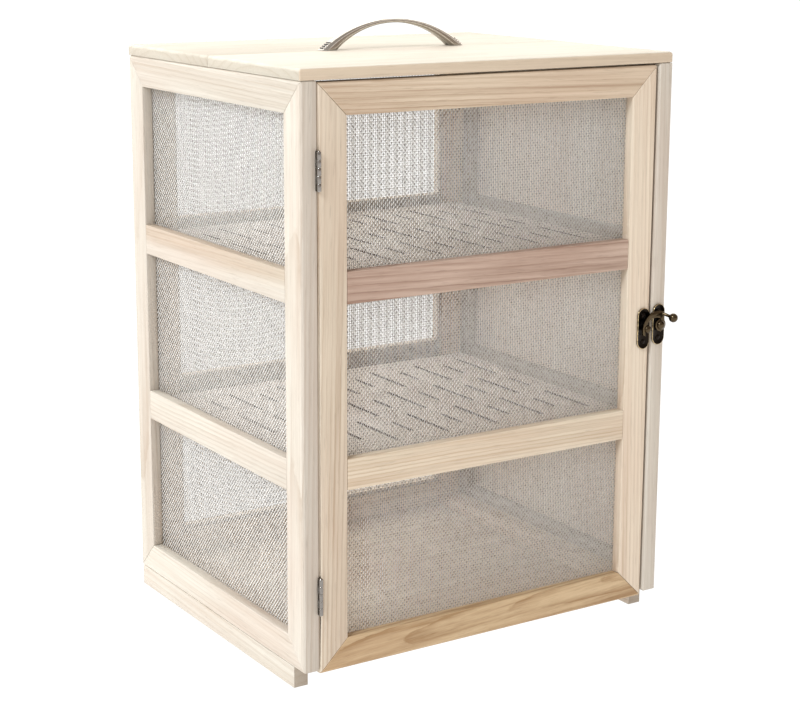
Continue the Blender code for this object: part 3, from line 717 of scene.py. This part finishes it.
def level_boards():
    """The top, the floor, the shelves and the shelves' rear cleats."""
    boards = {"floor_board": (0, INNER_PAINTED_LIGHT, {"ring": 8 * MM, "pith": 120 * MM})}
    for shelf in ("lower", "upper"):
        boards[f"shelf_cleat_{shelf}_rear"] = (0, INNER_PAINTED_LIGHT, {})
        boards[f"shelf_{shelf}"] = (1, GREYED_PAINTED_LIGHT, {"contrast": 0.4})
    ahead = half_depth("top_board_front")
    front = {"band": (1, 1.4 * MM - ahead, 0.6 * MM - ahead, TOP_FRONT)}
    boards["top_board_front"] = (0, TOP, {"ring": 7 * MM, "pith": 110 * MM, "contrast": 0.35, **front})
    boards["top_board_rear"] = (0, TOP, {"ring": 7 * MM, "pith": 90 * MM, "contrast": 0.35})
    return boards


def woods():
    """Every wooden node, each from its own board."""
    boards = {**side_boards(), **rear_and_door_boards(), **level_boards()}
    for seed, (node, (axis, (light, streak), options)) in enumerate(sorted(boards.items()), FIRST_SEED):
        low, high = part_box(node)
        centre = [(a + b) / 2 for a, b in zip(low, high)]
        finish = wood(f"wood_{node}", centre, axis, light, streak, seed, **options)
        if node in TOP_BOARDS:
            refined(node, finish, TOP_EASE, wide=outer_top_edges(high[2]), wide_width=TOP_ROUND)
        else:
            refined(node, finish, THIN_EASE if node in THIN_BOARDS else EASE)


# ---------------------------------------------------------------- hardware

PLATE_RIM = 1.5 * MM
PLATE_DISH = 0.7 * MM
PLATE_EASE = 0.6 * PLATE_DISH
PLATE_SCREW = 2.3 * MM
SCREW_RISE = 0.38  # a screw head's height, as a share of its radius

RIBS = 4
RIB = 0.95 * MM
RIB_PITCH = 2.5 * MM
RIB_SPAN = 0.58  # a rib's length, as a share of the handle's width
RIB_SINK = 0.35 * RIB
RIB_EASE = 0.4 * RIB

STEEL_EASE = 0.15 * MM
HANDLE_EASE = 0.3 * MM
LATCH_EASE = 0.45 * MM


def dished_plate(node, finish):
    """A latch plate whose face is sunk inside a raised rim, with a screw at each end."""
    bm = bmesh.new()
    bm.from_mesh(frame["nodes"][node].data)
    cleaned(bm)
    face = max(bm.faces, key=lambda f: (round(-f.normal.y, 3), f.calc_area()))
    bmesh.ops.inset_region(bm, faces=[face], thickness=PLATE_RIM)
    for vert in face.verts:
        vert.co.y += PLATE_DISH
    round_off(bm, creases(bm), PLATE_EASE)
    stand(f"{node}_fine", finished(bm, f"{node}_fine"), body_of[node], finish, slot_of[node], node)
    low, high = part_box(node)
    reach = (high[2] - low[2]) / 2 - (high[0] - low[0]) / 2
    for end, side in (("top", 1), ("bottom", -1)):
        place = ((low[0] + high[0]) / 2, low[1] + PLATE_DISH, (low[2] + high[2]) / 2 + side * reach)
        screw_head(f"{node}_screw_{end}", place, body_of[node], finish, slot_of[node])


def screw_head(name, place, body, finish, slot):
    """A low domed screw head, facing the front."""
    bm = bmesh.new()
    bmesh.ops.create_uvsphere(bm, u_segments=24, v_segments=12, radius=PLATE_SCREW)
    flatten = Matrix.Diagonal((1, SCREW_RISE, 1, 1))
    bmesh.ops.transform(bm, matrix=Matrix.Translation(place) @ flatten, verts=bm.verts)
    stand(name, finished(bm, name), body, finish, slot)


def handle_ribs(finish):
    """Ribs across each end of the bow handle, on the arc that its box gives."""
    low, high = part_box("top_handle")
    half, rise = (high[0] - low[0]) / 2, high[2] - low[2]
    radius = (half**2 + rise**2) / (2 * rise)
    centre = Vector(((low[0] + high[0]) / 2, (low[1] + high[1]) / 2, high[2] - radius))
    width = (high[1] - low[1]) * RIB_SPAN
    lying = Matrix.Rotation(math.pi / 2, 4, "X")
    for side, hand in ((-1, "left"), (1, "right")):
        for k in range(RIBS):
            turn = side * (math.asin(half / radius) - (k + 1) * RIB_PITCH / radius)
            out = Vector((math.sin(turn), 0, math.cos(turn)))
            bm = bmesh.new()
            bmesh.ops.create_cone(bm, cap_ends=True, segments=12, radius1=RIB, radius2=RIB, depth=width)
            place = Matrix.Translation(centre + out * (radius - RIB_SINK)) @ lying
            bmesh.ops.transform(bm, matrix=place, verts=bm.verts)
            round_off(bm, creases(bm), RIB_EASE)
            name = f"handle_rib_{hand}_{k + 1}"
            stand(name, finished(bm, name), body_of["top_handle"], finish, slot_of["top_handle"])


def hardware():
    """Hinges, latch and handle."""
    steel = metal("hinge_steel", (0.22, 0.205, 0.19), (0.80, 0.77, 0.72), 0.27, 0.08)
    bronze = metal("antique_bronze", (0.012, 0.009, 0.007), (0.70, 0.55, 0.33), 0.22, 0.06)
    handled = metal("handled_bronze", (0.062, 0.045, 0.026), (0.85, 0.68, 0.42), 0.20, 0.05, fleck=0.4)
    nickel = metal("satin_nickel", (0.37, 0.345, 0.305), (0.90, 0.88, 0.84), 0.18, 0.05, fleck=0.15)
    blackened = metal("blackened_nickel", (0.02, 0.018, 0.016), (0.60, 0.58, 0.54), 0.30, 0.06, fleck=0.15)
    for node in frame["nodes"]:
        if node.startswith(("hinge_", "handle_screw")):
            refined(node, steel, STEEL_EASE)
        elif node in ("latch_plate", "catch_plate"):
            dished_plate(node, bronze)
        elif node.startswith(("latch_", "catch_")):
            refined(node, handled, LATCH_EASE)
        elif node == "top_handle":
            refined(node, nickel, HANDLE_EASE)
    handle_ribs(blackened)


camera()
studio()
woods()

wire = wire_finish()
screen("left", 1, wire)
screen("rear", 0, wire)
screen("door", 0, wire)

hardware()
